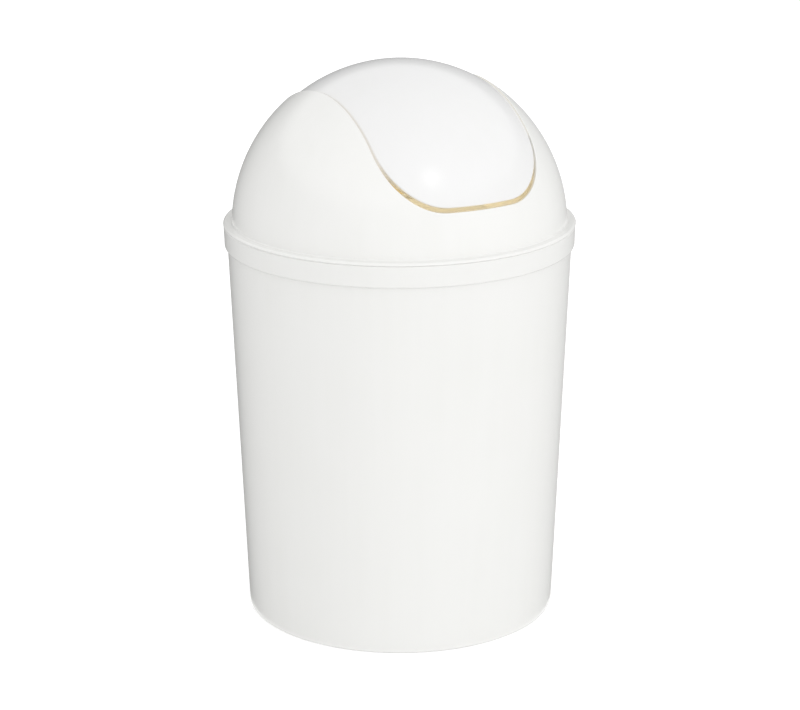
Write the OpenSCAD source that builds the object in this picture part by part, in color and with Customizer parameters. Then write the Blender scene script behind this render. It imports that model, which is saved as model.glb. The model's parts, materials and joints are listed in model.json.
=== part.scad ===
// Countertop bin with a swing lid: a tapered round bucket, a domed lid frame that drops into its rim,
// and a saddle-shaped flap that hangs between the lid's two ears on its own pegs.
// Millimetres, +Z up. The origin is the centre of the circle on which the bucket stands.
// The flap's front lobe faces -Y, and its pivot lies along X.

/* [Bucket] */
// Outer diameter of the rim band, at its top
rim_d = 129.2; // [126:0.2:133]
// Height from the floor to the top of the rim
bucket_h = 147.5; // [120:0.5:170]
// Outer diameter of the wall at the floor
base_d = 115; // [108:0.2:118]
// Thickness of the wall, the band and the ledge under the band
wall_t = 1.5; // [1.2:0.1:1.8]
// Thickness of the base
base_t = 1.8; // [1.4:0.1:2.4]
// Rounding inside the bucket, between base and wall
base_round = 3; // [2:0.5:6]
// Height of the ring that the bucket stands on
foot_h = 1.6; // [1:0.1:2.4]
// Width of that ring
foot_w = 3; // [2.5:0.1:5]
// Rounding of the bottom edge
foot_round = 0.9; // [0.6:0.1:1.4]

/* [Rim band] */
// Height of the band round the rim
band_h = 8.1; // [7.2:0.1:10]
// How far the band's foot stands out from the wall
band_step = 1.1; // [1:0.1:1.6]
// How much the band's radius shrinks from its top to its foot
band_draft = 0.3; // [0.2:0.1:0.6]
// Rounding under the band
band_round = 0.8; // [0.5:0.1:0.9]
// Rounding of the two edges that meet at the seam between bucket and lid
seam_round = 0.3; // [0.2:0.1:0.4]

/* [Lid frame] */
// Thickness of the dome and the plug skirt
lid_t = 1.6; // [1.4:0.1:1.8]
// Play between the plug skirt and the band, on each side
plug_play = 0.3; // [0.2:0.05:0.5]
// How far the plug skirt reaches down into the bucket
plug_h = 4.8; // [4:0.1:5]
// How far the dome's centre lies below the seam
dome_drop = 1.2; // [0.8:0.1:2]
// How far the dome's foot lies inside the rim band's outer face
dome_step = 3; // [2.6:0.1:3.2]
// Thickness of the flat collar round the dome's foot, which rests on the bucket's rim
collar_t = 1.2; // [1:0.1:1.6]
// How far the collar stands out past the rim band
collar_overhang = 0.1; // [0:0.05:0.4]

/* [Swing opening] */
// Width of the opening, between the two ears
opening_w = 64.4; // [60:0.2:66]
// Height of the opening's sill above the dome's centre
sill_h = 18.2; // [17:0.1:20]
// Radius of the opening's lower corners
opening_corner = 20; // [17:0.5:20.5]

/* [Swing flap] */
// Thickness of the flap
flap_t = 1.5; // [1.3:0.1:1.8]
// How far the flap lies below the dome's surface
flap_recess = 0.85; // [0.7:0.05:1.2]
// Gap between the flap and each ear
side_gap = 0.6; // [0.5:0.05:0.8]
// Gap between the flap's lower edge and the sill
sill_gap = 1.4; // [1.3:0.05:2.4]
// Radius of the flap's lower corners
flap_corner = 20; // [19.5:0.5:22]
// Depth of the stiffening flange behind the flap's edge
flange_h = 3; // [2:0.1:5]

/* [Pivot and stop] */
// Depth of the pivot below the top of each ear's edge
pivot_depth = 6.5; // [6.1:0.1:6.9]
// Diameter of each pivot peg
peg_d = 4; // [3:0.1:4.2]
// Radial play of a peg in its hole
peg_play = 0.05; // [0.02:0.01:0.1]
// How far a peg reaches past the ear's web
peg_end = 0.8; // [0.4:0.1:1]
// Thickness of the web that closes each ear
web_t = 1.6; // [1.2:0.1:1.8]
// Drop from the pivot to the straight lower edge of each cheek of the flap
cheek_drop = 10; // [8:0.1:11]
// Angle at which the flap's side meets the stop nib
stop_angle = 66; // [62:1:67]
// Width of the stop nib
nib_w = 5; // [4:0.5:6]
// Height of the stop nib
nib_h = 4; // [3:0.5:5]
// How far the nib reaches under the cheek's thickness
nib_bite = 0.9; // [0.7:0.1:1.2]

/* [Hidden] */
$fn = 96;
// Steps in each rounded corner of a turned outline, and a small overlap that makes a clean union
ARC_STEPS = 6;
LAP = 0.2;

rim_r = rim_d / 2;
base_r = base_d / 2;
band_z = bucket_h - band_h;
wall_top_r = rim_r - band_draft - band_step;
wall_lean = atan((wall_top_r - base_r) / band_z);
floor_z = foot_h + base_t;
ledge_z = band_z + wall_t;

collar_r = rim_r + collar_overhang;
collar_round = collar_t - seam_round;
plug_r = rim_r - wall_t - plug_play;
plug_z = bucket_h - plug_h;
plug_foot_r = plug_r - band_draft * plug_h / band_h;
dome_z = bucket_h - dome_drop;
dome_r = rim_r - dome_step;
dome_in_r = dome_r - lid_t;

flap_r = dome_r - flap_recess;
flap_in_r = flap_r - flap_t;
flap_w = opening_w - 2 * side_gap;
cheek_out_x = flap_w / 2;
cheek_in_x = cheek_out_x - flap_t;

pivot_h = sqrt(dome_r ^ 2 - (opening_w / 2) ^ 2) - pivot_depth;
cheek_low = pivot_h - cheek_drop;
peg_r = peg_d / 2;
peg_tip_x = opening_w / 2 + web_t + peg_end;
peg_chamfer = peg_end / 2;
flap_low = sill_h + sill_gap;
nib_x = cheek_out_x - nib_bite;
// At the nib's face the flap's side is lowest either at the cheek or at the lobe's rounded corner.
corner_x = nib_x - (cheek_out_x - flap_corner);
side_drop = max(cheek_drop, pivot_h - flap_low - flap_corner + sqrt(flap_corner ^ 2 - corner_x ^ 2));
// The nib's upper corner is where that straight edge, turned by stop_angle, meets it.
nib_top = pivot_h - (side_drop + nib_w / 2 * sin(stop_angle)) / cos(stop_angle);
web_low = nib_top - nib_h - web_t;

// Points of an arc about [x, y], from angle a to angle b
function arc(x, y, r, a, b) =
    [for (i = [0:ARC_STEPS]) let (t = a + (b - a) * i / ARC_STEPS) [x + r * cos(t), y + r * sin(t)]];

// Outer radius of the bucket's wall at height z
function wall_r(z) = base_r + (wall_top_r - base_r) * z / band_z;

// Radius of the band at height z, for a face that has radius r at the rim
function band_r(r, z) = r - band_draft * (bucket_h - z) / band_h;

// Outline with two rounded lower corners, open towards the top: half width w, lower edge at low
module lobe_outline(w, low, corner) {
    top = dome_r + LAP;
    translate([-w, low + corner])
        square([2 * w, top - low - corner]);
    translate([corner - w, low])
        square([2 * (w - corner), corner + LAP]);
    for (side = [-1, 1])
        translate([side * (w - corner), low + corner])
            circle(corner);
}

// That outline cut straight through the lid from front to back
module lobe_prism(w, low, corner) {
    rotate([90, 0, 0])
        linear_extrude(height = 2 * (dome_r + LAP), center = true)
            lobe_outline(w, low, corner);
}

module bucket() {
    foot_x = base_r - foot_round * (1 - sin(wall_lean)) / cos(wall_lean);
    round_x = wall_r(floor_z + base_round) - wall_t - base_round;
    ledge_in_r = wall_r(ledge_z) - wall_t;
    color("#F0F0ED")
        rotate_extrude()
            polygon(concat(
                [[0, foot_h], [base_r - foot_w, foot_h], [base_r - foot_w, 0]],
                arc(foot_x, foot_round, foot_round, -90, -wall_lean),
                [[wall_top_r, band_z]],
                arc(band_r(rim_r, band_z) - band_round, band_z + band_round, band_round, -90, 0),
                arc(rim_r - seam_round, bucket_h - seam_round, seam_round, 0, 90),
                [[rim_r - wall_t, bucket_h]],
                [[band_r(rim_r - wall_t, ledge_z), ledge_z], [ledge_in_r, ledge_z]],
                arc(round_x, floor_z + base_round, base_round, 0, -90),
                [[0, floor_z]]
            ));
}

// Dome, collar and plug skirt, as one turned outline with its height measured from the dome's centre
module lid_outline() {
    low = plug_z - dome_z;
    seam = bucket_h - dome_z;
    top = seam + collar_t;
    intersection() {
        difference() {
            circle(dome_r);
            circle(dome_in_r);
        }
        translate([0, seam])
            square(dome_r);
    }
    polygon(concat(
        [[dome_in_r + LAP, seam], [plug_r - lid_t, seam]],
        [[plug_foot_r - lid_t, low], [plug_foot_r, low], [plug_r, seam]],
        arc(collar_r - seam_round, seam + seam_round, seam_round, -90, 0),
        arc(collar_r - collar_round, top - collar_round, collar_round, 0, 90),
        [[dome_in_r + LAP, top]]
    ));
}

// Flat web that closes one ear towards the flap, with the stop nib on it
module ear_web() {
    face = opening_w / 2;
    intersection() {
        translate([face, -dome_r, web_low])
            cube([web_t, 2 * dome_r, dome_r]);
        sphere(dome_r - lid_t / 2);
    }
    translate([nib_x, -nib_w / 2, nib_top - nib_h])
        cube([face + LAP - nib_x, nib_w, nib_h]);
}

module lid_frame() {
    color("#F2F1EE")
        translate([0, 0, dome_z])
            difference() {
                union() {
                    difference() {
                        rotate_extrude()
                            lid_outline();
                        lobe_prism(opening_w / 2, sill_h, opening_corner);
                    }
                    for (side = [0, 1])
                        mirror([side, 0, 0])
                            ear_web();
                }
                for (side = [0, 1])
                    mirror([side, 0, 0])
                        translate([opening_w / 2 - LAP, 0, pivot_h])
                            rotate([0, 90, 0])
                                cylinder(r = peg_r + peg_play, h = web_t + 2 * LAP);
            }
}

// One side of the flap: the cheek and the peg that stands on it
module cheek_and_peg() {
    intersection() {
        translate([cheek_in_x, -flap_r, cheek_low])
            cube([flap_t, 2 * flap_r, flap_r]);
        sphere(flap_r - LAP);
    }
    translate([cheek_in_x, 0, pivot_h])
        rotate([0, 90, 0]) {
            cylinder(r = peg_r, h = peg_tip_x - peg_chamfer - cheek_in_x);
            translate([0, 0, peg_tip_x - peg_chamfer - cheek_in_x])
                cylinder(r1 = peg_r, r2 = peg_r - peg_chamfer, h = peg_chamfer);
        }
}

module swing_flap() {
    color("#F4F4F4")
        translate([0, 0, dome_z]) {
            intersection() {
                difference() {
                    sphere(flap_r);
                    sphere(flap_in_r);
                }
                lobe_prism(cheek_out_x, flap_low, flap_corner);
            }
            intersection() {
                difference() {
                    sphere(flap_r - LAP);
                    sphere(flap_in_r - flange_h);
                }
                difference() {
                    lobe_prism(cheek_out_x, flap_low, flap_corner);
                    lobe_prism(cheek_in_x, flap_low + flap_t, flap_corner - flap_t);
                }
            }
            for (side = [0, 1])
                mirror([side, 0, 0])
                    cheek_and_peg();
        }
}

bucket();
lid_frame();
swing_flap();
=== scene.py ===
"""White countertop bin with a swing lid: three polypropylene mouldings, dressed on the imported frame."""
import json
import logging
import math
from collections.abc import Callable, Sequence
from dataclasses import dataclass, field
from enum import Enum

import bmesh
import bpy
from bmesh.types import BMEdge, BMesh, BMVert
from mathutils import Matrix, Vector


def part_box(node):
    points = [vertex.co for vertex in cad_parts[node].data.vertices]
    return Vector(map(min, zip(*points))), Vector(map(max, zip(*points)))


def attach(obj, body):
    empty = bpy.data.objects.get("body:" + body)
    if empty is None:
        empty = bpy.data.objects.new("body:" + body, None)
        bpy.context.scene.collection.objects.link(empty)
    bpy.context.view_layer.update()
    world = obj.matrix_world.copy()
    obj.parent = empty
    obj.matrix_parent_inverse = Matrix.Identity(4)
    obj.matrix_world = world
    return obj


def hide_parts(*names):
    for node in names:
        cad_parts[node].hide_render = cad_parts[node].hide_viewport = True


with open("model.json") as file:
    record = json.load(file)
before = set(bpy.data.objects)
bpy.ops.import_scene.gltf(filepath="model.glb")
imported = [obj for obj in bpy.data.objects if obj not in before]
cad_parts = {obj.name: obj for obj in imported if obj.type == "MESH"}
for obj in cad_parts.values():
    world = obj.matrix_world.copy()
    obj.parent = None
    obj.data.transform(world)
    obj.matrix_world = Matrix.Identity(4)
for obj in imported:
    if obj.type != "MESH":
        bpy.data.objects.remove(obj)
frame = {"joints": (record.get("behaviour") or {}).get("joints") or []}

log = logging.getLogger("swing_bin")

MM = 0.001
COLUMNS = 288                       # columns of faces round the bin
COLUMN_ANGLE = 2 * math.pi / COLUMNS
WELD = 1e-3                         # mm within which two points are one
SHARP_ANGLE = math.radians(40)
DISC_SEGMENTS = COLUMNS // 2        # corners of an upright disc
PEG_SEGMENTS = 64                   # faces round a peg or its hole
HALVINGS = 32                       # steps in the search for a latitude
ARC_STEPS = 6                       # faces across a turned or lofted rounding
EDGE_STEPS = 3                      # faces across a rounded straight edge
RIB_STEPS = 2                       # faces across a rounding of the flap's flange


class Body(Enum):
    """The three moving bodies, named as in the frame."""

    BUCKET = "bucket"
    LID = "lid_frame"
    FLAP = "swing_flap"


class Slot(Enum):
    """The record's material slots."""

    BUCKET = "bucket_plastic"
    LID = "lid_plastic"
    FLAP = "flap_plastic"


class Seen(Enum):
    """Kinds of ray that a stage light or card can be hidden from."""

    CAMERA = "visible_camera"
    DIFFUSE = "visible_diffuse"
    GLOSSY = "visible_glossy"
    TRANSMISSION = "visible_transmission"
    SHADOW = "visible_shadow"


# ---------------------------------------------------------------- frame sizes


@dataclass(frozen=True)
class FrameSizes:
    """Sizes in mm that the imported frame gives."""

    rim_r: float
    rim_z: float
    collar_r: float
    flap_top: float
    pivot_z: float

    @classmethod
    def read(cls) -> "FrameSizes":
        """Reads the boxes of the three nodes and the place of the hinge.

        Returns:
            The sizes, in mm.
        """
        _, bucket_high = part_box(Body.BUCKET.value)
        _, lid_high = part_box(Body.LID.value)
        _, flap_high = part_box(Body.FLAP.value)
        hinge = next(j for j in frame["joints"] if j["type"] == "hinge")
        return cls(
            rim_r=bucket_high.x / MM,
            rim_z=bucket_high.z / MM,
            collar_r=lid_high.x / MM,
            flap_top=flap_high.z / MM,
            pivot_z=hinge["pos_m"][2] / MM,
        )


# ---------------------------------------------------------------- mesh tools


@dataclass(frozen=True)
class Corner:
    """A corner of a turned outline, in mm: radius from the axis, height, and the rounding of the corner."""

    r: float
    z: float
    rounding: float = 0.0

    def point(self) -> Vector:
        """The corner in the XZ plane."""
        return Vector((self.r, 0.0, self.z))


def turned(corners: Sequence[Corner], longest: float = 12.0) -> BMesh:
    """Turns an outline once round the Z axis.

    Args:
        corners: The outline's corners in order. Ends on the axis close to a pole, other ends stay open.
        longest: Straight stretches longer than this, in mm, are divided.

    Returns:
        A mesh in mm with COLUMNS columns.
    """
    bm = bmesh.new()
    points = [corner.point() for corner in corners]
    verts = [bm.verts.new(point) for point in points]
    for first, second in zip(verts, verts[1:]):
        bm.edges.new((first, second))
    for i, corner in enumerate(corners[1:-1], start=1):
        if corner.rounding:
            turn = (points[i] - points[i - 1]).angle(points[i + 1] - points[i])
            bmesh.ops.bevel(
                bm,
                geom=[verts[i]],
                offset=corner.rounding * math.tan(turn / 2),
                offset_type="OFFSET",
                segments=ARC_STEPS,
                profile=0.5,
                affect="VERTICES",
                material=-1,
            )
    for edge in bm.edges[:]:
        cuts = int(edge.calc_length() / longest)
        if cuts:
            bmesh.ops.subdivide_edges(bm, edges=[edge], cuts=cuts)
    bmesh.ops.spin(
        bm,
        geom=bm.verts[:] + bm.edges[:],
        cent=(0, 0, 0),
        axis=(0, 0, 1),
        dvec=(0, 0, 0),
        angle=2 * math.pi,
        steps=COLUMNS,
        use_merge=True,
        use_duplicate=False,
    )
    bmesh.ops.remove_doubles(bm, verts=bm.verts[:], dist=WELD)
    return bm


def join(target: BMesh, part: BMesh) -> None:
    """Moves a part's faces into another mesh.

    Args:
        target: The mesh that takes them.
        part: The part, which is freed.
    """
    bmesh.ops.recalc_face_normals(part, faces=part.faces[:])
    carrier = bpy.data.meshes.new("carrier")
    part.to_mesh(carrier)
    part.free()
    target.from_mesh(carrier)
    bpy.data.meshes.remove(carrier)


def both_sides(part: BMesh) -> BMesh:
    """Adds the mirror image across the plane X = 0.

    Args:
        part: The part on one side.

    Returns:
        The same mesh with both sides.
    """
    geometry = part.verts[:] + part.edges[:] + part.faces[:]
    bmesh.ops.mirror(part, geom=geometry, axis="X", merge_dist=0.0)
    bmesh.ops.recalc_face_normals(part, faces=part.faces[:])
    return part


def edges_at(bm: BMesh, test: Callable[[Vector], bool]) -> list[BMEdge]:
    """Edges with both ends where the test holds."""
    return [edge for edge in bm.edges if all(test(vert.co) for vert in edge.verts)]


def round_edges(bm: BMesh, edges: Sequence[BMEdge], radius: float) -> None:
    """Rounds straight edges of a part to a radius in mm."""
    bmesh.ops.bevel(
        bm,
        geom=list(edges),
        offset=radius,
        offset_type="OFFSET",
        segments=EDGE_STEPS,
        profile=0.5,
        affect="EDGES",
        material=-1,
    )


def finish_piece(
    name: str,
    bm: BMesh,
    body: Body,
    slot: Slot,
    material: bpy.types.Material,
    inward: Callable[[Vector], float],
) -> bpy.types.Object:
    """Makes the finished object of one moulding and enters it in the frame.

    Args:
        name: The piece's name.
        bm: Its mesh in mm, which is freed.
        body: The body it rides on; its CAD node, of the same name, is replaced.
        slot: Not used.
        material: Its material.
        inward: Gives the share of painted warm light at a point in mm: 0 on an outer face and up to 1 on an
            inner or cut face.

    Returns:
        The object.
    """
    mesh = bpy.data.meshes.new(name)
    bm.normal_update()
    bm.to_mesh(mesh)
    bm.free()
    # The inward attribute carries the share of painted warm light, which the material mixes into the colour.
    marks = mesh.attributes.new("inward", "FLOAT", "POINT")
    marks.data.foreach_set("value", [inward(vert.co) for vert in mesh.vertices])
    mesh.transform(Matrix.Scale(MM, 4))
    mesh.shade_smooth()
    mesh.set_sharp_from_angle(angle=SHARP_ANGLE)
    mesh.materials.append(material)
    piece = bpy.data.objects.new(name, mesh)
    bpy.context.scene.collection.objects.link(piece)
    weighting = piece.modifiers.new("weighted_normals", "WEIGHTED_NORMAL")
    weighting.keep_sharp = True
    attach(piece, body.value)
    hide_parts(body.value)
    log.info("%s: %d faces on %s", name, len(mesh.polygons), body.value)
    return piece


def ramp(value: float, low: float, high: float) -> float:
    """0 below low, 1 above high, straight between."""
    return min(max((value - low) / (high - low), 0.0), 1.0)


def quarter_turn(steps: int) -> list[float]:
    """The angles of a quarter circle in even steps, in radians, without its start."""
    return [math.pi / 2 * step / steps for step in range(1, steps + 1)]


# ---------------------------------------------------------------- lobe outline and dome loft


# Latitude in radians and radius in mm of a ring's point, by its azimuth in radians
Ring = Callable[[float], tuple[float, float]]


@dataclass(frozen=True)
class LobeOutline:
    """U-shaped outline seen from the front, in mm from the dome's centre: straight sides, round corners."""

    half_width: float
    low: float
    corner: float

    def outside(self, x: float, z: float) -> float:
        """Distance from the outline.

        Args:
            x: Distance from the middle plane.
            z: Height above the dome's centre.

        Returns:
            The distance in mm, above 0 outside the U and below 0 inside it.
        """
        across = abs(x) - (self.half_width - self.corner)
        down = self.low + self.corner - z
        if across > 0 and down > 0:
            return math.hypot(across, down) - self.corner
        return max(across, down) - self.corner

    def latitude(self, azimuth: float, radius: float, offset: float) -> float:
        """Latitude at which a dome of a given radius crosses the outline.

        Args:
            azimuth: Direction round the axis, in radians.
            radius: The dome's radius.
            offset: Distance outside the outline to look for.

        Returns:
            The latitude in radians.
        """
        low, high = 0.0, math.pi / 2
        for _ in range(HALVINGS):
            middle = (low + high) / 2
            flat = radius * math.cos(middle)
            if self.outside(flat * math.cos(azimuth), radius * math.sin(middle)) > offset:
                low = middle
            else:
                high = middle
        return (low + high) / 2

    def ring(self, radius: float, offset: float) -> Ring:
        """Ring in which a dome of a given radius crosses the outline, moved outwards by an offset."""
        return lambda azimuth: (self.latitude(azimuth, radius, offset), radius)


class DomeLoft:
    """Grows a shell ring by ring, each point staying at its own azimuth."""

    def __init__(self, bm: BMesh, ring: Sequence[BMEdge]) -> None:
        """Starts from a closed ring of edges.

        Args:
            bm: The mesh that grows.
            ring: The edges to grow from.
        """
        self.bm = bm
        self.ring = list(ring)

    @staticmethod
    def azimuth(point: Vector) -> float:
        """Exact azimuth of the column that a point belongs to."""
        column = round(math.atan2(point.y, point.x) / COLUMN_ANGLE) % COLUMNS
        return column * COLUMN_ANGLE

    def place(self, verts: Sequence[BMVert], spot: Ring) -> None:
        """Puts points on a ring, each at its own azimuth.

        Args:
            verts: The points.
            spot: The ring.
        """
        for vert in verts:
            azimuth = self.azimuth(vert.co)
            latitude, radius = spot(azimuth)
            flat = radius * math.cos(latitude)
            vert.co = (flat * math.cos(azimuth), flat * math.sin(azimuth), radius * math.sin(latitude))

    def extrude(self) -> list[BMVert]:
        """Extrudes the last ring in place.

        Returns:
            The new ring's points.
        """
        made = bmesh.ops.extrude_edge_only(self.bm, edges=self.ring)["geom"]
        self.ring = [edge for edge in made if isinstance(edge, BMEdge) and edge.is_boundary]
        return [vert for vert in made if isinstance(vert, BMVert)]

    def grow(self, spot: Ring) -> None:
        """Adds one ring."""
        self.place(self.extrude(), spot)

    def sweep(self, start: Ring, end: Ring, rings: int) -> None:
        """Adds rings in even steps of latitude.

        Args:
            start: The ring that is there already.
            end: The last new ring.
            rings: Number of new rings.
        """
        limits = [(start(i * COLUMN_ANGLE), end(i * COLUMN_ANGLE)) for i in range(COLUMNS)]
        for ring in range(1, rings + 1):
            share = ring / rings

            def between(azimuth: float) -> tuple[float, float]:
                """This ring's latitude and radius at an azimuth."""
                first, last = limits[round(azimuth / COLUMN_ANGLE) % COLUMNS]
                return tuple(a + (b - a) * share for a, b in zip(first, last))

            self.grow(between)

    def close(self, pole: Vector) -> None:
        """Closes the last ring in one point."""
        bmesh.ops.pointmerge(self.bm, verts=self.extrude(), merge_co=pole)


# ---------------------------------------------------------------- bucket


@dataclass
class Bucket:
    """Tapered bucket with its foot ring and the stepped band that the lid drops into. Sizes in mm."""

    frame_sizes: FrameSizes
    base_r: float = 57.5
    wall_t: float = 1.5
    base_t: float = 1.8
    base_round: float = 3.0
    foot_h: float = 1.6
    foot_w: float = 3.0
    foot_round: float = 0.9
    band_h: float = 8.1
    band_step: float = 1.1
    band_draft: float = 0.3
    band_round: float = 0.8
    rim_round: float = 0.7
    nook_round: float = 0.4
    crease_round: float = 0.2
    # The inside's painted warm light, which stands in for light through the thin wall, starts and is full at
    # these depths below the wall's outer face.
    tint_depth: tuple[float, float] = (0.6, 1.2)
    tint_margin: float = 1.0

    @property
    def band_z(self) -> float:
        """Height of the band's foot."""
        return self.frame_sizes.rim_z - self.band_h

    @property
    def wall_top_r(self) -> float:
        """Outer radius of the wall where it meets the band."""
        return self.frame_sizes.rim_r - self.band_draft - self.band_step

    def wall_r(self, z: float) -> float:
        """Outer radius of the wall at a height."""
        return self.base_r + (self.wall_top_r - self.base_r) * z / self.band_z

    def outline(self) -> list[Corner]:
        """Gives the outline to turn.

        Returns:
            Corners from under the base, up the outside, over the rim and down the inside to the floor.
        """
        rim_r, rim_z = self.frame_sizes.rim_r, self.frame_sizes.rim_z
        floor_z = self.foot_h + self.base_t
        ledge_z = self.band_z + self.wall_t
        foot_in_r = self.base_r - self.foot_w
        band_foot_r = rim_r - self.band_draft
        inside_r = rim_r - self.wall_t
        ledge_r = inside_r - self.band_draft * (rim_z - ledge_z) / self.band_h
        return [
            Corner(0, self.foot_h),
            Corner(foot_in_r, self.foot_h, self.nook_round),
            Corner(foot_in_r, 0, self.rim_round),
            Corner(self.base_r, 0, self.foot_round),
            Corner(self.wall_top_r, self.band_z, self.crease_round),
            Corner(band_foot_r, self.band_z, self.band_round),
            Corner(rim_r, rim_z, self.rim_round),
            Corner(inside_r, rim_z, self.rim_round),
            Corner(ledge_r, ledge_z, self.nook_round),
            Corner(self.wall_r(ledge_z) - self.wall_t, ledge_z, self.nook_round),
            Corner(self.wall_r(floor_z) - self.wall_t, floor_z, self.base_round),
            Corner(0, floor_z),
        ]

    def inward(self, point: Vector) -> float:
        """Gives the share of painted warm light, standing in for light through the wall: tells inner faces
        from outer ones.

        Args:
            point: A point of the bucket in mm.

        Returns:
            1 on the inside of the wall, 0 outside and at the foot and the rim.
        """
        if not self.foot_h + self.tint_margin < point.z < self.band_z + self.tint_margin:
            return 0.0
        return ramp(self.wall_r(point.z) - math.hypot(point.x, point.y), *self.tint_depth)

    def build(self, material: bpy.types.Material) -> bpy.types.Object:
        """Builds and dresses the bucket.

        Args:
            material: The moulding's material.

        Returns:
            The object.
        """
        bm = turned(self.outline())
        bmesh.ops.recalc_face_normals(bm, faces=bm.faces[:])
        return finish_piece("bucket_moulding", bm, Body.BUCKET, Slot.BUCKET, material, self.inward)


# ---------------------------------------------------------------- lid frame


@dataclass
class LidFrame:
    """Domed lid frame with its collar, two lobed openings, the ears between them and their webs. Sizes in mm.

    Heights in the methods are measured from the dome's centre.
    """

    frame_sizes: FrameSizes
    shell_t: float = 1.6
    dome_drop: float = 1.2
    dome_step: float = 3.0
    foot_reach: float = 1.5
    band_wall_t: float = 1.5
    plug_play: float = 0.3
    plug_h: float = 4.8
    plug_draft: float = 0.18
    collar_t: float = 1.2
    collar_slope: float = 0.2
    collar_bevel_w: float = 0.7
    collar_bevel_h: float = 0.45
    collar_round: float = 0.5
    seam_round: float = 0.3
    nook_round: float = 0.4
    foot_round: float = 0.6
    opening_w: float = 64.4
    sill_h: float = 17.95
    opening_corner: float = 19.3
    lip_round: float = 0.2
    ear_round: float = 0.3
    # Heights above the sill between which the lip's rounding turns into that of the ears' edges
    ear_starts: tuple[float, float] = (3.0, 11.0)
    inner_lip_round: float = 0.3
    web_t: float = 1.55
    web_gap: float = 0.05
    web_r: float = 51.0
    web_low: float = 4.44
    peg_hole_r: float = 2.05
    nib_x: float = 31.2
    nib_w: float = 5.0
    nib_h: float = 3.1
    nib_top: float = 7.6
    dome_rings: int = 24
    # Share of painted warm light, which stands in for light through the thin walls, on the inner faces and
    # the ears' edges, and on the webs, where the sill's cut face has 1
    inner_share: float = 0.05
    web_share: float = 0.2
    # The painted warm light starts and is full at the first depths below the outer face, and the sill's ends
    # at the second.
    tint_depth: tuple[float, float] = (0.1, 0.4)
    sill_tint_ends: tuple[float, float] = (1.45, 1.6)
    # The sill's painted warm light is full up to the first height above the sill, and gone at the second.
    sill_tint_h: tuple[float, float] = (3.0, 9.0)
    web_depth: float = 1.0

    @property
    def centre_z(self) -> float:
        """Height of the dome's centre above the floor."""
        return self.frame_sizes.rim_z - self.dome_drop

    @property
    def plug_r(self) -> float:
        """Outer radius of the plug skirt at the seam."""
        return self.frame_sizes.rim_r - self.band_wall_t - self.plug_play

    @property
    def dome_r(self) -> float:
        """Outer radius of the dome."""
        return self.frame_sizes.rim_r - self.dome_step

    @property
    def opening(self) -> LobeOutline:
        """Outline of the two openings."""
        return LobeOutline(self.opening_w / 2, self.sill_h, self.opening_corner)

    def foot_outline(self) -> list[Corner]:
        """Gives the outline to turn.

        Returns:
            Corners from the dome's foot, over the collar and round the plug skirt to the inner dome's foot.
        """
        seam = self.dome_drop
        top = seam + self.collar_t
        low = seam - self.plug_h
        collar_r = self.frame_sizes.collar_r
        dome_in_r = self.dome_r - self.shell_t
        plug_foot_r = self.plug_r - self.plug_draft
        start, end = top + self.foot_reach, seam + self.foot_reach
        return [
            Corner(math.sqrt(self.dome_r**2 - start**2), start),
            Corner(math.sqrt(self.dome_r**2 - top**2), top, self.foot_round),
            Corner(collar_r - self.collar_bevel_w, top - self.collar_slope, self.collar_round),
            Corner(collar_r, top - self.collar_slope - self.collar_bevel_h, self.collar_round),
            Corner(collar_r, seam, self.seam_round),
            Corner(self.plug_r, seam, self.inner_lip_round),
            Corner(plug_foot_r, low, self.seam_round),
            Corner(plug_foot_r - self.shell_t, low, self.seam_round),
            Corner(self.plug_r - self.shell_t, seam, self.nook_round),
            Corner(math.sqrt(dome_in_r**2 - seam**2), seam, self.inner_lip_round),
            Corner(math.sqrt(dome_in_r**2 - end**2), end),
        ]

    def shell(self) -> BMesh:
        """Builds the dome, collar and plug skirt with both openings.

        Returns:
            One closed shell, in mm from the dome's centre.
        """
        outline = self.foot_outline()
        bm = turned(outline)
        start_z, end_z = outline[0].z, outline[-1].z
        dome_in_r = self.dome_r - self.shell_t
        foot = math.asin(start_z / self.dome_r)
        inner_foot = math.asin(end_z / dome_in_r)
        opening = self.opening
        rim = edges_at(bm, lambda co: abs(co.z - start_z) < WELD and co.length > self.dome_r - WELD)
        loft = DomeLoft(bm, rim)
        inner_lip = self.inner_lip_round

        def rounded_lip(turn: float) -> Ring:
            """Ring on the opening's rounded outer edge, at an angle from its start."""
            def spot(azimuth: float) -> tuple[float, float]:
                """The ring's latitude and radius at an azimuth."""
                height = self.dome_r * math.sin(opening.latitude(azimuth, self.dome_r, 0))
                share = ramp(height - self.sill_h, *self.ear_starts)
                lip = self.lip_round + (self.ear_round - self.lip_round) * share
                radius = self.dome_r - lip * (1 - math.cos(turn))
                return opening.latitude(azimuth, radius, lip * (1 - math.sin(turn))), radius

            return spot

        loft.sweep(lambda azimuth: (foot, self.dome_r), rounded_lip(0.0), self.dome_rings)
        for turn in quarter_turn(ARC_STEPS):
            loft.grow(rounded_lip(turn))
        loft.grow(opening.ring(dome_in_r + inner_lip, 0))
        for turn in quarter_turn(ARC_STEPS):
            radius = dome_in_r + inner_lip * (1 - math.sin(turn))
            loft.grow(opening.ring(radius, inner_lip * (1 - math.cos(turn))))
        loft.sweep(
            opening.ring(dome_in_r, inner_lip), lambda azimuth: (inner_foot, dome_in_r), self.dome_rings
        )
        bmesh.ops.remove_doubles(bm, verts=bm.verts[:], dist=WELD)
        return bm

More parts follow.
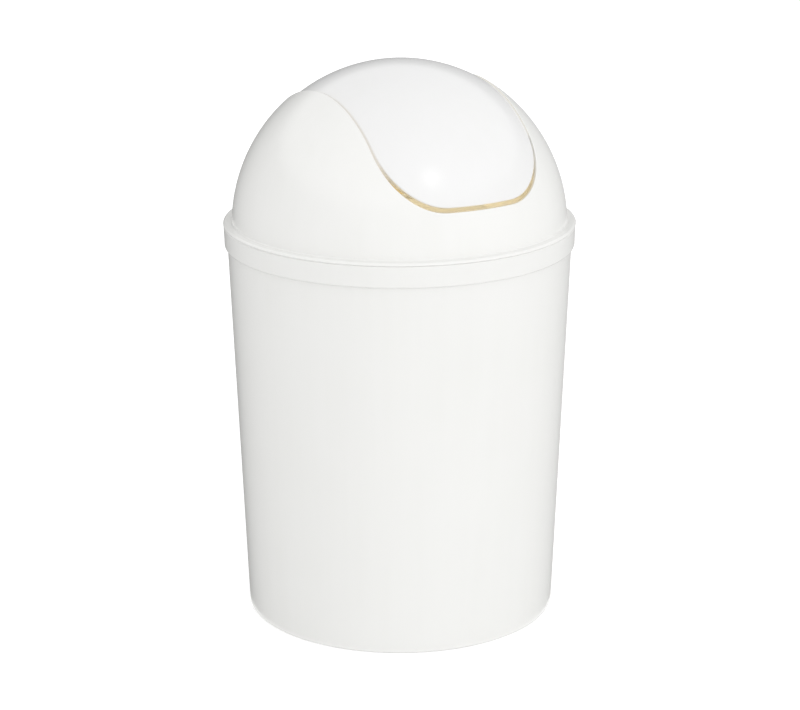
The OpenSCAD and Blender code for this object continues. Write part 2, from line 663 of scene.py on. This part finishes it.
    def web(self, pivot_h: float) -> BMesh:
        """Builds the flat web that closes one ear, with its peg hole and stop nib.

        Args:
            pivot_h: Height of the pivot above the dome's centre.

        Returns:
            The two closed parts on the +X side.
        """
        face = self.opening_w / 2 + self.web_gap
        bm = upright_disc(self.web_r, face, self.web_low)
        bmesh.ops.delete(bm, geom=bm.faces[:], context="FACES_ONLY")
        hole = Matrix.Translation((face, 0, pivot_h)) @ Matrix.Rotation(math.pi / 2, 4, "Y")
        bmesh.ops.create_circle(
            bm, cap_ends=False, segments=PEG_SEGMENTS, radius=self.peg_hole_r, matrix=hole
        )
        bmesh.ops.triangle_fill(bm, use_beauty=True, edges=bm.edges[:])
        thicken(bm, self.web_t)
        nib = bmesh.new()
        reach = face + self.web_t / 2 - self.nib_x
        place = Matrix.Translation((self.nib_x + reach / 2, 0, self.nib_top - self.nib_h / 2))
        stretch = Matrix.Diagonal((reach, self.nib_w, self.nib_h, 1))
        bmesh.ops.create_cube(nib, size=1, matrix=place @ stretch)
        round_edges(nib, nib.edges[:], self.inner_lip_round)
        join(bm, nib)
        return bm

    def inward(self, point: Vector) -> float:
        """Gives the share of painted warm light, standing in for light through the thin walls: tells cut and
        inner faces from outer ones.

        Args:
            point: A point of the lid frame in mm.

        Returns:
            1 on the sill's cut face, less on the webs, inner faces and ears' edges, and 0 outside.
        """
        depth = self.dome_r - (point - Vector((0, 0, self.centre_z))).length
        behind_face = abs(point.x) - self.opening_w / 2 - self.web_gap
        if depth > self.web_depth and min(abs(behind_face), abs(behind_face - self.web_t)) < WELD:
            return self.web_share
        height = point.z - self.centre_z - self.sill_h
        at_sill = (1 - ramp(height, *self.sill_tint_h)) * (1 - ramp(depth, *self.sill_tint_ends))
        return ramp(depth, *self.tint_depth) * (self.inner_share + (1 - self.inner_share) * at_sill)

    def build(self, material: bpy.types.Material) -> bpy.types.Object:
        """Builds and dresses the lid frame.

        Args:
            material: The moulding's material.

        Returns:
            The object.
        """
        bm = self.shell()
        bmesh.ops.recalc_face_normals(bm, faces=bm.faces[:])
        join(bm, both_sides(self.web(self.frame_sizes.pivot_z - self.centre_z)))
        bmesh.ops.translate(bm, verts=bm.verts[:], vec=(0, 0, self.centre_z))
        return finish_piece("lid_frame_moulding", bm, Body.LID, Slot.LID, material, self.inward)


def upright_disc(radius: float, x: float, low: float) -> BMesh:
    """Makes one flat face in the plane X = x: a disc about the X axis with its lower part cut off.

    Args:
        radius: The disc's radius.
        x: Where the face stands.
        low: Height of the straight lower edge.

    Returns:
        A mesh with one face.
    """
    bm = bmesh.new()
    place = Matrix.Translation((x, 0, 0)) @ Matrix.Rotation(math.pi / 2, 4, "Y")
    bmesh.ops.create_circle(bm, cap_ends=True, segments=DISC_SEGMENTS, radius=radius, matrix=place)
    bmesh.ops.bisect_plane(
        bm,
        geom=bm.verts[:] + bm.edges[:] + bm.faces[:],
        plane_co=(0, 0, low),
        plane_no=(0, 0, 1),
        clear_inner=True,
    )
    return bm


def thicken(bm: BMesh, thickness: float) -> None:
    """Gives a flat face in a plane X = constant a thickness.

    Args:
        bm: The mesh with the face.
        thickness: The thickness in mm, towards +X.
    """
    made = bmesh.ops.extrude_face_region(bm, geom=bm.faces[:], use_keep_orig=True)["geom"]
    moved = [vert for vert in made if isinstance(vert, BMVert)]
    bmesh.ops.translate(bm, verts=moved, vec=(thickness, 0, 0))
    bmesh.ops.recalc_face_normals(bm, faces=bm.faces[:])


# ---------------------------------------------------------------- swing flap


@dataclass
class SwingFlap:
    """Saddle-shaped flap with its edge flange, cheeks and pegs. Sizes in mm.

    Heights in the methods are measured from the dome's centre.
    """

    frame_sizes: FrameSizes
    dome_z: float
    shell_t: float = 1.5
    half_width: float = 31.6
    low: float = 19.25
    corner: float = 19.3
    edge_round: float = 0.6
    side_round: float = 0.3
    full_round_h: float = 5.0
    rib_round: float = 0.2
    flange_h: float = 3.0
    cheek_r: float = 49.0
    cheek_drop: float = 10.0
    cheek_inset: float = 0.05
    peg_r: float = 2.0
    peg_from: float = 30.1
    peg_tip: float = 34.6
    peg_round: float = 0.4
    # The pegs have play along the pivot. The flap rests against the ear on +X, as in the photograph.
    slip: float = 0.52
    rings: int = 40
    # The inner faces' painted warm light, standing in for light through the thin walls, starts and is full at
    # these depths below the outer face.
    tint_depth: tuple[float, float] = (0.1, 1.0)

    @property
    def dome_r(self) -> float:
        """Outer radius of the flap."""
        return self.frame_sizes.flap_top - self.dome_z

    @property
    def outline(self) -> LobeOutline:
        """Outline of the flap's two lobes."""
        return LobeOutline(self.half_width, self.low, self.corner)

    def gap_middles(self, ear_x: float) -> tuple[float, float]:
        """Where along X the middles of the gaps to the two ears stand, for ears at -ear_x and ear_x."""
        return (self.slip - self.half_width - ear_x) / 2, (self.slip + self.half_width + ear_x) / 2

    def shell(self) -> BMesh:
        """Builds the saddle and its flange.

        Returns:
            One closed shell, in mm from the dome's centre.
        """
        outline, top = self.outline, math.pi / 2
        in_r = self.dome_r - self.shell_t
        rib_r = in_r - self.flange_h
        rib = self.rib_round
        bm = bmesh.new()
        bmesh.ops.create_circle(bm, cap_ends=True, cap_tris=True, segments=COLUMNS, radius=1.0)
        loft = DomeLoft(bm, [edge for edge in bm.edges if edge.is_boundary])

        def rounding(azimuth: float) -> float:
            """Rounding of the outer edge: fuller along the lobes' lower edges than beside the ears."""
            height = self.dome_r * math.sin(outline.latitude(azimuth, self.dome_r, 0))
            share = ramp(height, self.low + self.full_round_h, self.low + 2 * self.full_round_h)
            return self.edge_round + (self.side_round - self.edge_round) * share

        def rounded_edge(turn: float) -> Ring:
            """Ring on the rounded outer edge, at an angle from its start."""
            def spot(azimuth: float) -> tuple[float, float]:
                """The ring's latitude and radius at an azimuth."""
                size = rounding(azimuth)
                radius = self.dome_r - size * (1 - math.cos(turn))
                return outline.latitude(azimuth, radius, -size * (1 - math.sin(turn))), radius

            return spot

        def near_top(limit: Ring) -> Ring:
            """The small ring round the pole that goes with an outer ring."""
            def spot(azimuth: float) -> tuple[float, float]:
                """The ring's latitude and radius at an azimuth."""
                latitude, radius = limit(azimuth)
                return top - (top - latitude) / (2 * self.rings), radius

            return spot

        outer, inner = rounded_edge(0.0), outline.ring(in_r, -self.shell_t)
        pole = next(vert for vert in bm.verts if vert.co.length < WELD)
        loft.place([vert for vert in bm.verts if vert is not pole], near_top(outer))
        pole.co = (0, 0, self.dome_r)
        loft.sweep(near_top(outer), outer, self.rings)
        for turn in quarter_turn(ARC_STEPS):
            loft.grow(rounded_edge(turn))
        loft.grow(outline.ring(rib_r + rib, 0))
        for turn in quarter_turn(RIB_STEPS):
            loft.grow(outline.ring(rib_r + rib * (1 - math.sin(turn)), -rib * (1 - math.cos(turn))))
        loft.grow(outline.ring(rib_r, rib - self.shell_t))
        for turn in quarter_turn(RIB_STEPS):
            radius = rib_r + rib * (1 - math.cos(turn))
            loft.grow(outline.ring(radius, rib * (1 - math.sin(turn)) - self.shell_t))
        loft.grow(inner)
        loft.sweep(inner, near_top(inner), self.rings)
        loft.close(Vector((0, 0, in_r)))
        bmesh.ops.remove_doubles(bm, verts=bm.verts[:], dist=WELD)
        return bm

    def side(self) -> BMesh:
        """Builds the cheek and the peg of one side.

        Returns:
            The two closed parts on the +X side.
        """
        pivot_h = self.frame_sizes.pivot_z - self.dome_z
        start = self.half_width - self.shell_t + self.cheek_inset
        low = pivot_h - self.cheek_drop
        bm = upright_disc(self.cheek_r, start, low)
        thicken(bm, self.shell_t - 2 * self.cheek_inset)
        round_edges(bm, edges_at(bm, lambda co: abs(co.z - low) < WELD), self.rib_round)
        peg = bmesh.new()
        length = self.peg_tip - self.peg_from
        middle = Matrix.Translation((self.peg_from + length / 2, 0, pivot_h))
        bmesh.ops.create_cone(
            peg,
            cap_ends=True,
            segments=PEG_SEGMENTS,
            radius1=self.peg_r,
            radius2=self.peg_r,
            depth=length,
            matrix=middle @ Matrix.Rotation(math.pi / 2, 4, "Y"),
        )
        round_edges(peg, edges_at(peg, lambda co: abs(co.x - self.peg_tip) < WELD), self.peg_round)
        join(bm, peg)
        return bm

    def inward(self, point: Vector) -> float:
        """Share of painted warm light: 1 on the flap's inner faces and flange, 0 on its outer face."""
        depth = self.dome_r - (point - Vector((self.slip, 0, self.dome_z))).length
        return ramp(depth, *self.tint_depth)

    def build(self, material: bpy.types.Material) -> bpy.types.Object:
        """Builds and dresses the flap.

        Args:
            material: The moulding's material.

        Returns:
            The object.
        """
        bm = self.shell()
        bmesh.ops.recalc_face_normals(bm, faces=bm.faces[:])
        join(bm, both_sides(self.side()))
        bmesh.ops.translate(bm, verts=bm.verts[:], vec=(self.slip, 0, self.dome_z))
        return finish_piece("swing_flap_moulding", bm, Body.FLAP, Slot.FLAP, material, self.inward)


# ---------------------------------------------------------------- finishes

Value = float | tuple[float, ...] | bpy.types.NodeSocket


def linear(hex_colour: str) -> tuple[float, float, float, float]:
    """Turns an sRGB hex colour into linear RGBA.

    Args:
        hex_colour: Such as "#F0F0ED".

    Returns:
        Red, green, blue and an alpha of 1.
    """
    parts = [int(hex_colour[i : i + 2], 16) / 255 for i in (1, 3, 5)]
    red, green, blue = (c / 12.92 if c <= 0.04045 else ((c + 0.055) / 1.055) ** 2.4 for c in parts)
    return red, green, blue, 1.0


def add_node(
    tree: bpy.types.NodeTree, kind: str, inputs: dict[str | int, Value] | None = None, **settings: object
) -> bpy.types.Node:
    """Adds a node with its settings and links.

    Args:
        tree: The node tree.
        kind: The node's type name.
        inputs: For an input's name or number, the value to set or the output to link.
        settings: The node's own properties.

    Returns:
        The node.
    """
    node = tree.nodes.new(kind)
    for name, value in settings.items():
        setattr(node, name, value)
    for key, value in (inputs or {}).items():
        if isinstance(value, bpy.types.NodeSocket):
            tree.links.new(value, node.inputs[key])
        else:
            node.inputs[key].default_value = value
    return node


def new_material(name: str) -> tuple[bpy.types.Material, bpy.types.NodeTree]:
    """Makes a node material without nodes.

    Args:
        name: The material's name.

    Returns:
        The material and its node tree.
    """
    material = bpy.data.materials.new(name)
    material.use_nodes = True
    material.node_tree.nodes.clear()
    return material, material.node_tree


@dataclass(frozen=True)
class MouldedPolypropylene:
    """White polypropylene, injection-moulded against a finely blasted steel mould.

    It gives the eye a satin white: a broad soft sheen, no sharp reflections, and very slight clouds and flow
    lines from the moulding. Its cut and inner faces get a painted warm light that stands in for light through
    the thin walls.
    """

    name: str
    white: str
    cloud: str
    # Painted warm light on cut and inner faces, standing in for light that comes through the thin walls.
    painted_warm_light: str
    roughness: float
    grain_um: float = 2.0
    # The blasted grain is about 0.1 mm on the real mould. It is drawn at 0.9 mm, the finest that the
    # render's 2.8 pixels to the millimetre can show.
    grain_mm: float = 0.9
    # Sink and cooling waves of a 1.5 mm wall run over two to three centimetres.
    wave_mm: float = 26.0
    wave_um: float = 40.0
    # Flow lines run up the draw direction, a few millimetres wide.
    flow_mm: float = 5.0
    flow_stretch: float = 0.05
    ior: float = 1.49

    def build(self) -> bpy.types.Material:
        """Builds the node material.

        Returns:
            The material.
        """
        material, tree = new_material(self.name)
        place = add_node(tree, "ShaderNodeTexCoord").outputs["Object"]
        grain = add_node(
            tree,
            "ShaderNodeTexNoise",
            {"Vector": place, "Scale": 1 / (self.grain_mm * MM), "Detail": 2.0, "Roughness": 0.6},
        ).outputs["Fac"]
        wave = add_node(
            tree,
            "ShaderNodeTexNoise",
            {"Vector": place, "Scale": 1 / (self.wave_mm * MM), "Detail": 1.0, "Roughness": 0.4},
        ).outputs["Fac"]
        drawn = add_node(
            tree, "ShaderNodeMapping", {"Vector": place, "Scale": (1.0, 1.0, self.flow_stretch)}
        ).outputs["Vector"]
        flow = add_node(
            tree,
            "ShaderNodeTexNoise",
            {"Vector": drawn, "Scale": 1 / (self.flow_mm * MM), "Detail": 2.0, "Roughness": 0.5},
        ).outputs["Fac"]
        clouding = add_node(
            tree, "ShaderNodeMath", {0: wave, 1: flow}, operation="MULTIPLY", use_clamp=True
        ).outputs[0]
        body = add_node(
            tree,
            "ShaderNodeMix",
            {0: clouding, 6: linear(self.white), 7: linear(self.cloud)},
            data_type="RGBA",
        ).outputs[2]
        # Inner and cut faces are mixed towards the painted warm light, by the share that the inward attribute
        # carries.
        inward = add_node(tree, "ShaderNodeAttribute", attribute_name="inward").outputs["Fac"]
        colour = add_node(
            tree, "ShaderNodeMix", {0: inward, 6: body, 7: linear(self.painted_warm_light)}, data_type="RGBA"
        ).outputs[2]
        sheen_change = add_node(
            tree,
            "ShaderNodeMapRange",
            {"Value": flow, "To Min": self.roughness - 0.03, "To Max": self.roughness + 0.03},
        ).outputs["Result"]
        waved = add_node(
            tree, "ShaderNodeBump", {"Height": wave, "Strength": 1.0, "Distance": self.wave_um * 1e-6}
        ).outputs["Normal"]
        grained = add_node(
            tree,
            "ShaderNodeBump",
            {"Height": grain, "Normal": waved, "Strength": 1.0, "Distance": self.grain_um * 1e-6},
        ).outputs["Normal"]
        shader = add_node(
            tree,
            "ShaderNodeBsdfPrincipled",
            {"Base Color": colour, "Roughness": sheen_change, "Normal": grained, "IOR": self.ior},
        ).outputs[0]
        add_node(tree, "ShaderNodeOutputMaterial", {"Surface": shader})
        return material


# The third colour of each finish is painted warm light for its cut and inner faces, standing in for light
# through the thin walls.
BUCKET_FINISH = MouldedPolypropylene(
    "satin_white_polypropylene_bucket", white="#F3F3F1", cloud="#EFEFEC", painted_warm_light="#F3F1EC", roughness=0.24
)
LID_FINISH = MouldedPolypropylene(
    "satin_white_polypropylene_lid", white="#F5F5F3", cloud="#F1F1EE", painted_warm_light="#E8D9B5", roughness=0.24
)
FLAP_FINISH = MouldedPolypropylene(
    "semi_gloss_white_polypropylene_flap",
    white="#F2F2F2",
    cloud="#EFEFEE",
    painted_warm_light="#F2EFE8",
    roughness=0.20,
)


# ---------------------------------------------------------------- studio


def hide_from(thing: bpy.types.Object, *rays: Seen) -> None:
    """Hides a stage light or card from kinds of ray."""
    for ray in rays:
        setattr(thing, ray.value, False)


def stage_object(name: str, bm: BMesh, place: Matrix, material: bpy.types.Material) -> bpy.types.Object:
    """Makes an object of the studio.

    Args:
        name: The object's name.
        bm: Its mesh, which is freed.
        place: Takes the mesh to its place in metres.
        material: Its material.

    Returns:
        The object.
    """
    mesh = bpy.data.meshes.new(name)
    bm.to_mesh(mesh)
    bm.free()
    mesh.transform(place)
    mesh.materials.append(material)
    thing = bpy.data.objects.new(name, mesh)
    bpy.context.scene.collection.objects.link(thing)
    return thing


@dataclass(frozen=True)
class SoftLamp:
    """Round soft lamp that points at the middle of the bin."""

    name: str
    azimuth: float
    elevation: float
    distance: float
    diameter: float
    level: float
    colour: str = "#FFFFFF"
    hidden: tuple[Seen, ...] = (Seen.CAMERA,)
    aim_z: float = 0.12

    def build(self) -> None:
        """Builds the lamp.

        Its level is what it adds to a matt white face turned to it, where a white world adds 1.
        """
        light = bpy.data.lights.new(self.name, "AREA")
        light.shape = "DISK"
        light.size = self.diameter
        light.energy = self.level * math.pi**2 * self.distance**2
        light.color = linear(self.colour)[:3]
        lamp = bpy.data.objects.new(self.name, light)
        turn, rise = math.radians(self.azimuth), math.radians(self.elevation)
        outward = Vector((math.cos(turn) * math.cos(rise), math.sin(turn) * math.cos(rise), math.sin(rise)))
        aim = Vector((0, 0, self.aim_z))
        lamp.location = aim + outward * self.distance
        lamp.rotation_euler = (-outward).to_track_quat("-Z", "Y").to_euler()
        hide_from(lamp, *self.hidden)
        bpy.context.scene.collection.objects.link(lamp)


@dataclass
class Studio:
    """Pale floor, white surroundings, grey and black flags round the bin, lamps, and the light inside it."""

    # The gaps beside the ears, in mm: where they stand along X, and the height of the dome's centre
    gap_x: tuple[float, float]
    gap_centre_z: float
    floor_reach: float = 6.0
    floor_white: str = "#F6F6F6"
    floor_lift: float = 0.35
    ambient: float = 1.08
    ambient_lean: tuple[float, float, float] = (0.0, -0.09, -0.25)
    flag_grey: str = "#A0A0A0"
    flag_black: str = "#202020"
    # The black flags stand low on the left of the photograph: below the first share of this
    # direction the flags are grey, above the second they are black.
    flag_side: tuple[float, float, float] = (-0.75, 0.66, -0.6)
    flag_turn: tuple[float, float] = (-0.05, 0.35)
    flag_inner_r: float = 58.5
    flag_r: float = 1200.0
    flag_lift: float = 0.8
    flag_height: float = 700.0
    gap_r: float = 52.3
    gap_low: float = 26.0
    gap_level: float = 0.85
    gap_colour: str = "#FFFBF4"
    inner_energy: float = 0.061
    inner_size: float = 0.03
    inner_z: float = 0.12
    inner_colour: str = "#FFEEC8"
    lamps: tuple[SoftLamp, ...] = field(
        default_factory=lambda: (
            SoftLamp("key_softbox", azimuth=-92.3, elevation=43.4, distance=1.5, diameter=0.30, level=0.03),
            SoftLamp(
                "wide_softbox",
                azimuth=-72.0,
                elevation=5.0,
                distance=1.8,
                diameter=1.2,
                level=0.12,
                hidden=(Seen.CAMERA, Seen.GLOSSY),
            ),
            SoftLamp(
                "left_softbox",
                azimuth=-170.0,
                elevation=5.0,
                distance=1.8,
                diameter=1.2,
                level=0.03,
                hidden=(Seen.CAMERA, Seen.GLOSSY),
            ),
        )
    )

    def world(self) -> None:
        """Sets the surroundings: white where seen or mirrored, else plain light that leans to the front."""
        world = bpy.data.worlds.new("studio_white")
        bpy.context.scene.world = world
        world.use_nodes = True
        tree = world.node_tree
        tree.nodes.clear()
        direction = add_node(tree, "ShaderNodeTexCoord").outputs["Generated"]
        towards = add_node(
            tree, "ShaderNodeVectorMath", {0: direction, 1: self.ambient_lean}, operation="DOT_PRODUCT"
        ).outputs["Value"]
        strength = add_node(
            tree,
            "ShaderNodeMath",
            {0: towards, 1: self.ambient, 2: self.ambient},
            operation="MULTIPLY_ADD",
        ).outputs[0]
        white = (1, 1, 1, 1)
        light = add_node(tree, "ShaderNodeBackground", {"Color": white, "Strength": strength}).outputs[0]
        seen = add_node(tree, "ShaderNodeBackground", {"Color": white, "Strength": 1.0}).outputs[0]
        mixed = add_node(
            tree, "ShaderNodeMixShader", {0: self.seen_directly(tree), 1: light, 2: seen}
        ).outputs[0]
        add_node(tree, "ShaderNodeOutputWorld", {"Surface": mixed})

    @staticmethod
    def seen_directly(tree: bpy.types.NodeTree) -> bpy.types.NodeSocket:
        """Adds nodes that tell how a face or the world is seen.

        Args:
            tree: The node tree.

        Returns:
            An output that is 1 for camera, glossy and transmission rays, else 0.
        """
        path = add_node(tree, "ShaderNodeLightPath").outputs
        either = add_node(
            tree,
            "ShaderNodeMath",
            {0: path["Is Camera Ray"], 1: path["Is Glossy Ray"]},
            operation="ADD",
            use_clamp=True,
        ).outputs[0]
        return add_node(
            tree,
            "ShaderNodeMath",
            {0: either, 1: path["Is Transmission Ray"]},
            operation="ADD",
            use_clamp=True,
        ).outputs[0]

    def floor(self) -> None:
        """Builds the matt white floor, lifted to plain white where seen, with the bin's soft shadow on it."""
        bm = bmesh.new()
        bmesh.ops.create_grid(bm, x_segments=1, y_segments=1, size=self.floor_reach)
        material, tree = new_material("matt_white_floor")
        matt = add_node(tree, "ShaderNodeBsdfDiffuse", {"Color": linear(self.floor_white)}).outputs[0]
        lift = add_node(
            tree, "ShaderNodeMath", {0: self.seen_directly(tree), 1: self.floor_lift}, operation="MULTIPLY"
        ).outputs[0]
        glow = add_node(tree, "ShaderNodeEmission", {"Color": (1, 1, 1, 1), "Strength": lift}).outputs[0]
        both = add_node(tree, "ShaderNodeAddShader", {0: matt, 1: glow}).outputs[0]
        add_node(tree, "ShaderNodeOutputMaterial", {"Surface": both})
        floor = stage_object("floor", bm, Matrix.Identity(4), material)

    def flags(self) -> None:
        """Builds the cards that lie and stand round the bin, out of sight, and show only in its sheen.

        They darken the bin's outline, where the plastic mirrors most.
        """
        bm = turned(
            [
                Corner(self.flag_inner_r, self.flag_lift),
                Corner(self.flag_r, self.flag_lift),
                Corner(self.flag_r, self.flag_height),
            ],
            longest=self.flag_r,
        )
        material, tree = new_material("grey_felt")
        place = add_node(tree, "ShaderNodeTexCoord").outputs["Object"]
        outward = add_node(tree, "ShaderNodeVectorMath", {0: place}, operation="NORMALIZE").outputs["Vector"]
        side = add_node(
            tree, "ShaderNodeVectorMath", {0: outward, 1: self.flag_side}, operation="DOT_PRODUCT"
        ).outputs["Value"]
        share = add_node(
            tree,
            "ShaderNodeMapRange",
            {"Value": side, "From Min": self.flag_turn[0], "From Max": self.flag_turn[1]},
        ).outputs["Result"]
        grey = add_node(
            tree,
            "ShaderNodeMix",
            {0: share, 6: linear(self.flag_grey), 7: linear(self.flag_black)},
            data_type="RGBA",
        ).outputs[2]
        felt = add_node(tree, "ShaderNodeBsdfDiffuse", {"Color": grey}).outputs[0]
        add_node(tree, "ShaderNodeOutputMaterial", {"Surface": felt})
        cards = stage_object("grey_flags", bm, Matrix.Scale(MM, 4), material)
        hide_from(cards, Seen.CAMERA, Seen.DIFFUSE, Seen.TRANSMISSION, Seen.SHADOW)

    def inner_glow(self) -> None:
        """Adds the light that comes through the bin's thin walls into its inside, warmed on the way."""
        light = bpy.data.lights.new("light_through_walls", "POINT")
        light.energy = self.inner_energy
        light.shadow_soft_size = self.inner_size
        light.color = linear(self.inner_colour)[:3]
        lamp = bpy.data.objects.new("light_through_walls", light)
        lamp.location = (0, 0, self.inner_z)
        hide_from(lamp, Seen.CAMERA, Seen.GLOSSY, Seen.TRANSMISSION)
        bpy.context.scene.collection.objects.link(lamp)

    def gap_glow(self) -> None:
        """Adds the light that comes through the flap and the ears into the gaps between them: two sheets."""
        sheets = bmesh.new()
        for x in self.gap_x:
            join(sheets, upright_disc(self.gap_r, x, self.gap_low))
        place = Matrix.Scale(MM, 4) @ Matrix.Translation((0, 0, self.gap_centre_z))
        material, tree = new_material("light_in_gaps")
        glow = add_node(
            tree, "ShaderNodeEmission", {"Color": linear(self.gap_colour), "Strength": self.gap_level}
        ).outputs[0]
        add_node(tree, "ShaderNodeOutputMaterial", {"Surface": glow})
        glowing = stage_object("light_in_gaps", sheets, place, material)
        hide_from(glowing, Seen.CAMERA, Seen.GLOSSY, Seen.TRANSMISSION, Seen.SHADOW)

    def build(self) -> None:
        """Builds the whole studio."""
        self.world()
        self.floor()
        self.flags()
        self.inner_glow()
        self.gap_glow()
        for lamp in self.lamps:
            lamp.build()
        bpy.context.scene.view_settings.view_transform = "Standard"


@dataclass(frozen=True)
class PhotoCamera:
    """Camera at the photograph's viewing angle, as fitted to the bin's outline. Lengths in mm."""

    distance: float = 939.72
    height: float = 385.28
    aside: float = 0.055
    turn_deg: float = -29.9
    tilt_deg: float = 17.12
    roll_deg: float = -0.15
    lens: float = 118.52
    sensor: float = 36.0

    def build(self) -> bpy.types.Object:
        """Builds the camera and makes it the scene's.

        Returns:
            The camera's object.
        """
        data = bpy.data.cameras.new("photo_camera")
        data.lens = self.lens
        data.sensor_width = self.sensor
        data.clip_start, data.clip_end = 0.01, 100.0
        camera = bpy.data.objects.new("photo_camera", data)
        turn = Matrix.Rotation(math.radians(self.turn_deg), 4, "Z")
        place = Matrix.Translation(Vector((self.aside, -self.distance, self.height)) * MM)
        tilt = Matrix.Rotation(math.radians(90 - self.tilt_deg), 4, "X")
        roll = Matrix.Rotation(math.radians(self.roll_deg), 4, "Z")
        camera.matrix_world = turn @ place @ tilt @ roll
        bpy.context.scene.collection.objects.link(camera)
        bpy.context.scene.camera = camera
        return camera


# ---------------------------------------------------------------- making


def write_sizes() -> None:
    """Updates the view layer.
    """
    bpy.context.view_layer.update()


def main() -> None:
    """Builds the camera, the three mouldings and the studio in order."""
    logging.basicConfig(level=logging.INFO, format="%(message)s")
    bpy.context.view_layer.update()
    PhotoCamera().build()
    sizes = FrameSizes.read()
    lid = LidFrame(sizes)
    flap = SwingFlap(sizes, lid.centre_z)
    Bucket(sizes).build(BUCKET_FINISH.build())
    lid.build(LID_FINISH.build())
    flap.build(FLAP_FINISH.build())
    Studio(gap_x=flap.gap_middles(lid.opening_w / 2), gap_centre_z=lid.centre_z).build()
    write_sizes()


if __name__ == "__main__":
    main()
